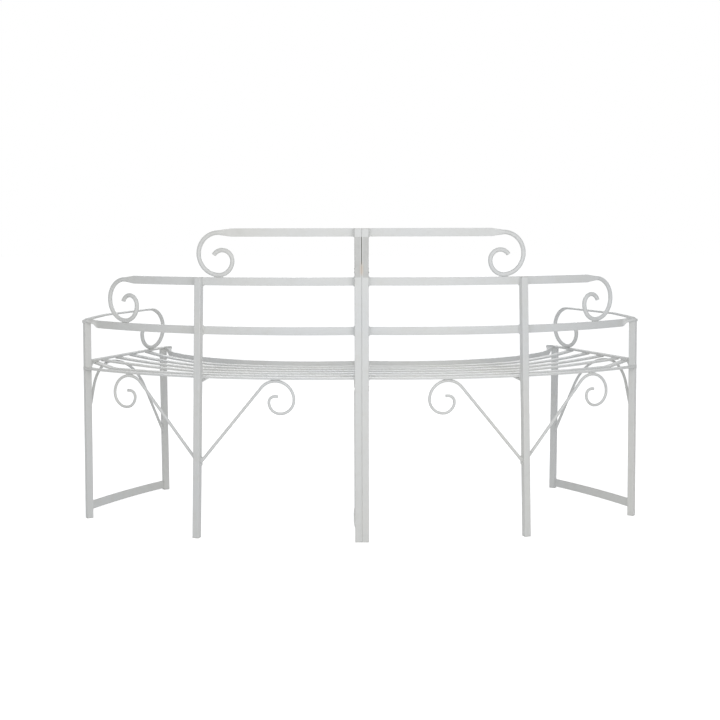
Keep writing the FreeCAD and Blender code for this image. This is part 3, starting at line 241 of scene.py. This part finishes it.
def plate_zinc():
    """Bright zinc plate on the joining hardware: cloudy grey metal with turning marks."""
    zinc = Finish("bright_zinc_plate")
    cloud = zinc.noise(140.0, 3.0)
    marks = zinc.noise(1200.0)
    colour = zinc.blend(cloud, DARK_ZINC, LIGHT_ZINC)
    return zinc.finish(Base_Color=colour, Metallic=1.0, Roughness=0.28 + cloud * 0.2,
                       Normal=zinc.bump(0.25, 0.05, marks))


FINISHES = {"white_powder_coat": paint_white_coat(), "white_plastic": mould_white_plastic(),
            "zinc_plated_steel": plate_zinc()}


def slot_of(name):
    if "plug" in name or "cap" in name:
        return "white_plastic"
    if name.startswith("joining"):
        return "zinc_plated_steel"
    return "white_powder_coat"


for name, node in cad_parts.items():
    for spot in node.material_slots:
        spot.material = FINISHES[slot_of(name)]


def dress_weldment(piece, *nodes):
    """A new steel piece gets its coat, body and slot, and the solids it stands for are hidden."""
    piece.data.materials.clear()
    piece.data.materials.append(FINISHES["white_powder_coat"])
    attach(piece, "root")
    if nodes:
        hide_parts(*nodes)


def pick_only(piece):
    bpy.ops.object.select_all(action="DESELECT")
    piece.select_set(True)
    bpy.context.view_layer.objects.active = piece


# The bar that the rails are forged from, and the edge that the hammer leaves on its flats.
ROD = 12.0
FLAT_DEPTH = 22.0
FLAT_THICK = 5.0
EDGE = 1.1
CORNER_POINTS = 5
ROUND_FROM = 8.0
SMOOTH_BELOW = 40.0


def profile(wide, thick):
    """Points of a bar's section. Its corners grow as it nears a rod, and are full round there."""
    full = min(wide, thick) / 2
    corner = EDGE + (full - EDGE) * max(0.0, 1 - abs(wide - thick) / ROUND_FROM)
    points = []
    for quarter, (side, face) in enumerate(((1, 1), (-1, 1), (-1, -1), (1, -1))):
        for step in range(CORNER_POINTS):
            turn = math.radians(90 * (quarter + step / (CORNER_POINTS - 1)))
            points.append((side * (wide / 2 - corner) + corner * math.cos(turn),
                           face * (thick / 2 - corner) + corner * math.sin(turn)))
    return points


class Station:
    """One cross-section of a forged bar: where it is, where it points and how it is shaped.

    A roll of 0 lays the section's width level, and 90 stands it up.
    """

    def __init__(self, x, y, z, heading, roll, wide, thick, dip=0.0):
        self.place = Vector((x, y, z))
        turn, down = math.radians(heading), math.radians(dip)
        level = Vector((-math.sin(turn), math.cos(turn), 0.0))
        crown = Vector((math.cos(turn) * math.sin(down), math.sin(turn) * math.sin(down),
                        math.cos(down)))
        lean = math.radians(roll)
        self.across = level * math.cos(lean) + crown * math.sin(lean)
        self.through = crown * math.cos(lean) - level * math.sin(lean)
        self.points = profile(wide, thick)

    def rim(self, side):
        """The section's points in metres, on the right half (1) or the left (-1)."""
        for u, v in self.points:
            spot = (self.place + self.across * u + self.through * v) * MM
            yield Vector((spot.x * side, spot.y, spot.z))


def forge(name, stations, side):
    """A bar drawn out from a round blank, one extruded section after another."""
    bpy.ops.object.select_all(action="DESELECT")
    bpy.ops.mesh.primitive_circle_add(vertices=4 * CORNER_POINTS, radius=ROD / 2 * MM,
                                      fill_type="NGON")
    bar = bpy.context.object
    bar.name = name
    bpy.ops.object.mode_set(mode="EDIT")
    for index, station in enumerate(stations):
        if index:
            bpy.ops.mesh.extrude_region_move()
        blank = bmesh.from_edit_mesh(bar.data)
        end = next(face for face in blank.faces if face.select)
        for corner, spot in zip(end.loops, station.rim(side)):
            corner.vert.co = spot
        bmesh.update_edit_mesh(bar.data)
    bpy.ops.mesh.select_all(action="SELECT")
    bpy.ops.mesh.remove_doubles(threshold=0.02 * MM)
    bpy.ops.mesh.normals_make_consistent(inside=False)
    bpy.ops.object.mode_set(mode="OBJECT")
    bpy.ops.object.shade_smooth_by_angle(angle=math.radians(SMOOTH_BELOW))
    return bar


# The lower rail's own line, in plan: an arc that starts beside the centre post.
RAIL_CENTRE = (133.4, 571.16)
RAIL_LINE = 899.6
RAIL_START = -8.4
RAIL_END = 44.0
RAIL_STEP = 2.0
LOWER_RAIL = 576.0

# The neck, where it twists from its edge onto its flat: along, height, roll, width, thickness.
NECK = ((5, 577.5, 88, 20.5, 5), (9, 580, 78, 16, 5.8), (13, 582, 62, 13.5, 6.4),
        (18, 583.2, 38, 13, 6.6), (22, 584, 16, 15, 6), (26, 584.4, 3, 18.5, 5.3))

# The turn over the end post, where the two straights would cross, and the bend between them.
STRAP_LEVEL = 584.5
ARM_CORNER = (799.3, -64.3)
CORNER_RADIUS = 11.6
CORNER_STEPS = 8
CORNER_STRETCH = 1.5

# The straight arm: how far from the corner, and how wide there, as far as its inward bend.
ARM_WIDE = 15.0
SHOULDER = ((18, 21), (24, 19.5), (34, 17), (50, ARM_WIDE), (110, ARM_WIDE), (180, ARM_WIDE),
            (250, ARM_WIDE))
ARM_BEND = (676.97, 228.43)
ARM_CREST = 595.0
CREST_RUN = 90.0
CREST_EASE = 0.8

# The inward bend, on which each step draws the strap a little narrower and thicker, and the
# scroll: the radius and turn of each of its arcs.
INTURN_START = 112.3
INTURN_RADIUS = 250.0
INTURN_STEP = 2
INTURN_STEPS = 4
NARROWER = 0.4
THICKER = 0.25
ARM_HEADING = 120.3
ARM_SCROLL = ((60.0, 180), (43.0, 90), (20.0, 110))
SCROLL_STEP = 7.5
ROD_BY = 40.0


def on_arc(centre, radius, bearing):
    """A point in plan; the bearing is from straight back, so it is the heading there as well."""
    turn = math.radians(bearing)
    return centre[0] + radius * math.sin(turn), centre[1] - radius * math.cos(turn)


def hub_left_of(spot, radius, bearing):
    """Centre of the arc that leaves a point on this bearing and turns left."""
    turn = math.radians(bearing)
    return spot[0] - radius * math.sin(turn), spot[1] + radius * math.cos(turn)


def on_rail(bearing):
    return Station(*on_arc(RAIL_CENTRE, RAIL_LINE, bearing), LOWER_RAIL, bearing, 90.0,
                   FLAT_DEPTH, FLAT_THICK)


def straight(start, end):
    """Length, direction and heading of a straight in plan."""
    run = Vector((end[0] - start[0], end[1] - start[1]))
    return run.length, run.normalized(), math.degrees(math.atan2(run.y, run.x))


def arm_stations():
    """The lower rail on edge, its twist over the end post, and the arm as far as its scroll."""
    steps = math.floor((RAIL_END - RAIL_START) / RAIL_STEP)
    stations = [on_rail(RAIL_START + RAIL_STEP * step) for step in range(steps + 1)]
    stations.append(on_rail(RAIL_END))

    start = stations[-1].place
    _, run, neck = straight(start, ARM_CORNER)
    for along, height, roll, wide, thick in NECK:
        stations.append(Station(start.x + run.x * along, start.y + run.y * along, height, neck,
                                roll, wide, thick))

    length, arm, bearing = straight(ARM_CORNER, ARM_BEND)
    tangent = CORNER_RADIUS * math.tan(math.radians(bearing - neck) / 2)
    corner_start = (ARM_CORNER[0] - run.x * tangent, ARM_CORNER[1] - run.y * tangent)
    hub = hub_left_of(corner_start, CORNER_RADIUS, neck)
    for step in range(CORNER_STEPS + 1):
        share = step / CORNER_STEPS
        turned = neck + (bearing - neck) * share
        stations.append(Station(*on_arc(hub, CORNER_RADIUS, turned), STRAP_LEVEL, turned, 0,
                                FLAT_DEPTH - CORNER_STRETCH * (1 - share), FLAT_THICK))

    for along, wide in (*SHOULDER, (length, ARM_WIDE)):
        rise = (ARM_CREST - STRAP_LEVEL) * min(1.0, along / CREST_RUN) ** CREST_EASE
        stations.append(Station(ARM_CORNER[0] + arm.x * along, ARM_CORNER[1] + arm.y * along,
                                STRAP_LEVEL + rise, bearing, 0, wide, FLAT_THICK))

    hub = hub_left_of(ARM_BEND, INTURN_RADIUS, INTURN_START)
    for step in range(1, INTURN_STEPS + 1):
        turned = INTURN_START + INTURN_STEP * step
        wide, thick = ARM_WIDE - NARROWER * step, FLAT_THICK + THICKER * step
        stations.append(Station(*on_arc(hub, INTURN_RADIUS, turned), ARM_CREST, turned, 0,
                                wide, thick))
    return stations + scroll(stations[-1].place, ARM_HEADING, ARM_SCROLL, wide, thick)


def scroll(start, heading, arcs, wide, thick):
    """Sections round a scroll that rolls downwards; the bar is drawn to a rod as it dips."""
    stations = []
    along, height, turned = 0.0, start.z, 0.0
    ahead = Vector((math.cos(math.radians(heading)), math.sin(math.radians(heading))))
    for radius, turn in arcs:
        angle = math.radians(turned)
        hub = (along - radius * math.sin(angle), height - radius * math.cos(angle))
        count = round(turn / SCROLL_STEP)
        for index in range(1, count + 1):
            dip = turned + turn * index / count
            angle = math.radians(dip)
            along = hub[0] + radius * math.sin(angle)
            height = hub[1] + radius * math.cos(angle)
            drawn = min(1.0, dip / ROD_BY)
            stations.append(Station(start.x + ahead.x * along, start.y + ahead.y * along, height,
                                    heading, 0, wide + (ROD - wide) * drawn,
                                    thick + (ROD - thick) * drawn, dip=dip))
        turned += turn
    return stations


# The photograph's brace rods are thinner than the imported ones, by this much all round.
BRACE_TRIM = 0.9
BRACES = ("inner_scroll", "outer_scroll", "end_arch", "centre_arch")


def draw_thinner(name, node):
    """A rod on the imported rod's own line, drawn thinner all along."""
    rod = bpy.data.objects.new(name, node.data.copy())
    bpy.context.scene.collection.objects.link(rod)
    pick_only(rod)
    bpy.ops.object.mode_set(mode="EDIT")
    bpy.ops.mesh.select_all(action="SELECT")
    bpy.ops.mesh.remove_doubles(threshold=0.002 * MM)
    bpy.ops.mesh.normals_make_consistent(inside=False)
    bpy.ops.object.mode_set(mode="OBJECT")
    bpy.ops.mesh.customdata_custom_splitnormals_clear()
    inwards = [vertex.normal * -BRACE_TRIM * MM for vertex in rod.data.vertices]
    for vertex, move in zip(rod.data.vertices, inwards):
        vertex.co += move
    bpy.ops.object.shade_smooth_by_angle(angle=math.radians(SMOOTH_BELOW))
    return rod


# Every shape as it shows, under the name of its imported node.
shapes = dict(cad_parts)
for hand, side in (("left", -1), ("right", 1)):
    node = hand + "_lower_rail_armrest"
    shapes[node] = forge(hand + "_forged_armrest", arm_stations(), side)
    dress_weldment(shapes[node], node)

for hand in ("left", "right"):
    for brace in BRACES:
        node = "%s_%s_brace" % (hand, brace)
        shapes[node] = draw_thinner("%s_drawn_%s_brace" % (hand, brace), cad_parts[node])
        dress_weldment(shapes[node], node)


# Which pieces are welded to which, and how far the bead reaches from both.
FILLET = 2.3
SCROLL_FILLET = 1.05
BRACE_FILLET = 1.35
SLATS = tuple("seat_slat_%d" % number for number in range(1, 6))
SCROLL_BRACES = ("inner_scroll_brace", "outer_scroll_brace")
WELDS = {
    "back": [
        ("centre_back_post", ("top_rail", "middle_rail", "lower_rail_armrest"), FILLET),
        ("mid_back_post", ("middle_rail", "lower_rail_armrest"), FILLET),
        ("end_arm_post", ("lower_rail_armrest", "seat_back_rim"), FILLET),
        ("middle_rail", ("top_rail", "lower_rail_armrest"), SCROLL_FILLET),
        ("lower_rail_armrest", ("seat_back_rim",), SCROLL_FILLET),
    ],
    "seat": [
        ("centre_seat_rail", ("centre_back_post", "centre_front_leg", "seat_back_rim", *SLATS),
         FILLET),
        ("seat_back_rim", ("centre_back_post", "mid_back_post", *SLATS, "seat_front_rim",
                           "seat_crossbar"), FILLET),
        ("seat_crossbar", (*SLATS, "seat_front_rim"), FILLET),
    ],
    "leg": [
        ("end_back_leg", ("seat_back_rim", "end_arch_brace", "end_stretcher"), FILLET),
        ("end_front_leg", ("seat_back_rim", "seat_front_rim", "end_arch_brace", "end_stretcher"),
         FILLET),
        ("centre_back_post", ("centre_arch_brace", "centre_stretcher"), FILLET),
        ("centre_front_leg", ("seat_front_rim", "centre_arch_brace", "centre_stretcher"), FILLET),
        ("mid_back_post", SCROLL_BRACES, FILLET),
        ("seat_back_rim", SCROLL_BRACES, BRACE_FILLET),
        ("centre_seat_rail", ("centre_arch_brace",), FILLET),
    ],
}

# A bead is built of small drops on a grid, kept this far inside the bench's own box.
DROP = 1.15
DROP_PITCH = 1.3
DROP_SWELL = 0.16
BEAD_GRID = 0.85
BOX_MARGIN = 1.9
BOX_LOWS = [low / MM + BOX_MARGIN for low in cad_box[0]]
BOX_HIGHS = [high / MM - BOX_MARGIN for high in cad_box[1]]


def surface_of(piece):
    """The piece's faces as a search tree, with its lowest and highest corners."""
    spots = [vertex.co * (1 / MM) for vertex in piece.data.vertices]
    faces = [face.vertices[:] for face in piece.data.polygons]
    lows = [min(spot[axis] for spot in spots) for axis in range(3)]
    highs = [max(spot[axis] for spot in spots) for axis in range(3)]
    return BVHTree.FromPolygons(spots, faces), lows, highs


def outside_both(spot, trees, reach):
    for tree in trees:
        place, normal, _, _ = tree.find_nearest(spot, reach)
        if place is None or (spot - place).dot(normal) < 0.0:
            return False
    return True


def weld_drops(first, second, reach):
    """Grid points in the notch between two pieces, outside both and within reach of both."""
    tree_a, low_a, high_a = first
    tree_b, low_b, high_b = second
    steps = []
    for axis in range(3):
        low = max(low_a[axis] - reach, low_b[axis] - reach, BOX_LOWS[axis])
        high = min(high_a[axis] + reach, high_b[axis] + reach, BOX_HIGHS[axis])
        ticks = range(math.ceil(low / DROP_PITCH), math.floor(high / DROP_PITCH) + 1)
        steps.append([DROP_PITCH * tick for tick in ticks])
    grid = (Vector((x, y, z)) for x in steps[0] for y in steps[1] for z in steps[2])
    return [spot for spot in grid if outside_both(spot, (tree_a, tree_b), reach)]


def heap_drops(name, drops, blob):
    """One loose mesh of copies of the blob at the drops, each unevenly larger or smaller."""
    corners = [vertex.co.copy() for vertex in blob.vertices]
    skin = [face.vertices[:] for face in blob.polygons]
    spots, faces = [], []
    for index, place in enumerate(drops):
        uneven = math.sin(12.9898 * index)
        swell = 1.0 + DROP_SWELL * uneven * math.sin(0.7 * (place.x + place.y + place.z))
        start = len(spots)
        spots += [place * MM + corner * swell for corner in corners]
        faces += [tuple(start + corner for corner in face) for face in skin]
    mesh = bpy.data.meshes.new(name)
    mesh.from_pydata(spots, [], faces)
    return mesh


def lay_welds(name, joints, surfaces):
    """Painted-over weld beads: drops of weld metal in each notch, run together and smoothed."""
    drops = []
    for piece, partners, reach in joints:
        for partner in partners:
            drops += weld_drops(surfaces[piece], surfaces[partner], reach)
    bpy.ops.object.select_all(action="DESELECT")
    bpy.ops.mesh.primitive_ico_sphere_add(subdivisions=1, radius=DROP * MM)
    bead = bpy.context.object
    bead.name = name
    bead.data = heap_drops(name, drops, bead.data)
    for kind, settings in (("REMESH", {"mode": "VOXEL", "voxel_size": BEAD_GRID * MM}),
                           ("SMOOTH", {"factor": 0.5, "iterations": 4})):
        modifier = bead.modifiers.new(kind.title(), kind)
        for setting, value in settings.items():
            setattr(modifier, setting, value)
        bpy.ops.object.modifier_apply(modifier=modifier.name)
    bpy.ops.object.shade_smooth()
    return bead


def mirror_copy(piece, name):
    """The same piece for the left half, with its own mesh."""
    pick_only(piece)
    bpy.ops.object.duplicate()
    twin = bpy.context.object
    twin.name = name
    for vertex in twin.data.vertices:
        vertex.co.x = -vertex.co.x
    twin.data.flip_normals()
    return twin


surfaces = {name[len("right_"):]: surface_of(piece) for name, piece in shapes.items()
            if name.startswith("right_")}
for group, joints in WELDS.items():
    welds = lay_welds("right_%s_welds" % group, joints, surfaces)
    dress_weldment(welds)
    dress_weldment(mirror_copy(welds, "left_%s_welds" % group))


def lay_floor():
    """A plain white floor that keeps the bench's faint shadow; its size and glow hide its edge."""
    white = Finish("white_floor")
    diffuse = white.node("ShaderNodeBsdfDiffuse", None, {"Color": (0.8, 0.8, 0.8, 1.0)})
    glow = white.node("ShaderNodeEmission", None,
                      {"Color": WHITE, "Strength": white.plain_rays() * 0.72})
    white.cover(white.node("ShaderNodeAddShader", None, {0: diffuse, 1: glow}))
    bpy.ops.mesh.primitive_plane_add(size=60.0, location=(0.0, 0.0, 0.0))
    floor = bpy.context.object
    floor.name = "studio_floor"
    floor.data.materials.append(white.material)


def light_world():
    """White all round to the eye, and a plain soft light on the bench."""
    world = bpy.data.worlds.new("studio")
    bpy.context.scene.world = world
    world.use_nodes = True
    sky = Brush(world.node_tree)
    light = sky.node("ShaderNodeBackground", None,
                     {"Color": (0.96, 0.98, 1.0, 1.0), "Strength": 0.44})
    backdrop = sky.node("ShaderNodeBackground", None, {"Color": WHITE, "Strength": 1.0})
    sky.cover(sky.node("ShaderNodeMixShader", None, {0: sky.plain_rays(), 1: light, 2: backdrop}),
              "ShaderNodeOutputWorld")


def hang_softbox(name, place, target, size, power):
    lamp = bpy.data.lights.new(name, "AREA")
    lamp.shape = "RECTANGLE"
    lamp.size, lamp.size_y = size
    lamp.energy = power
    box = bpy.data.objects.new(name, lamp)
    bpy.context.scene.collection.objects.link(box)
    box.location = place
    box.visible_camera = False
    box.rotation_euler = (Vector(target) - Vector(place)).to_track_quat("-Z", "Y").to_euler()


# The camera that was fitted to the photograph: its focal length in pixels, place and turns.
PICTURE_WIDTH = 720.0
FOCAL_PIXELS = 1178.56
SENSOR_WIDTH = 36.0
CAMERA_PLACE = (-0.03596, -3.47127, 0.85388)
CAMERA_PITCH = 0.11265
CAMERA_YAW = 0.00998
CAMERA_ROLL = -0.00215


def set_camera():
    lens = bpy.data.cameras.new("camera")
    lens.sensor_width = SENSOR_WIDTH
    lens.lens = FOCAL_PIXELS / PICTURE_WIDTH * SENSOR_WIDTH
    camera = bpy.data.objects.new("camera", lens)
    bpy.context.scene.collection.objects.link(camera)
    camera.location = CAMERA_PLACE
    turned = Euler((math.pi / 2 - CAMERA_PITCH, 0.0, -CAMERA_YAW), "XYZ").to_matrix()
    rolled = turned @ Euler((0.0, 0.0, CAMERA_ROLL), "XYZ").to_matrix()
    camera.rotation_euler = rolled.to_euler()
    bpy.context.scene.camera = camera


lay_floor()
light_world()
hang_softbox("key", place=(0.15, -1.95, 1.1), target=(0.0, 0.0, 0.5), size=(3.0, 1.6), power=20.0)
hang_softbox("fill", place=(0.0, 2.4, 1.5), target=(0.0, 0.0, 0.45), size=(2.2, 1.4), power=15.0)
set_camera()
bpy.context.scene.view_settings.view_transform = "Standard"
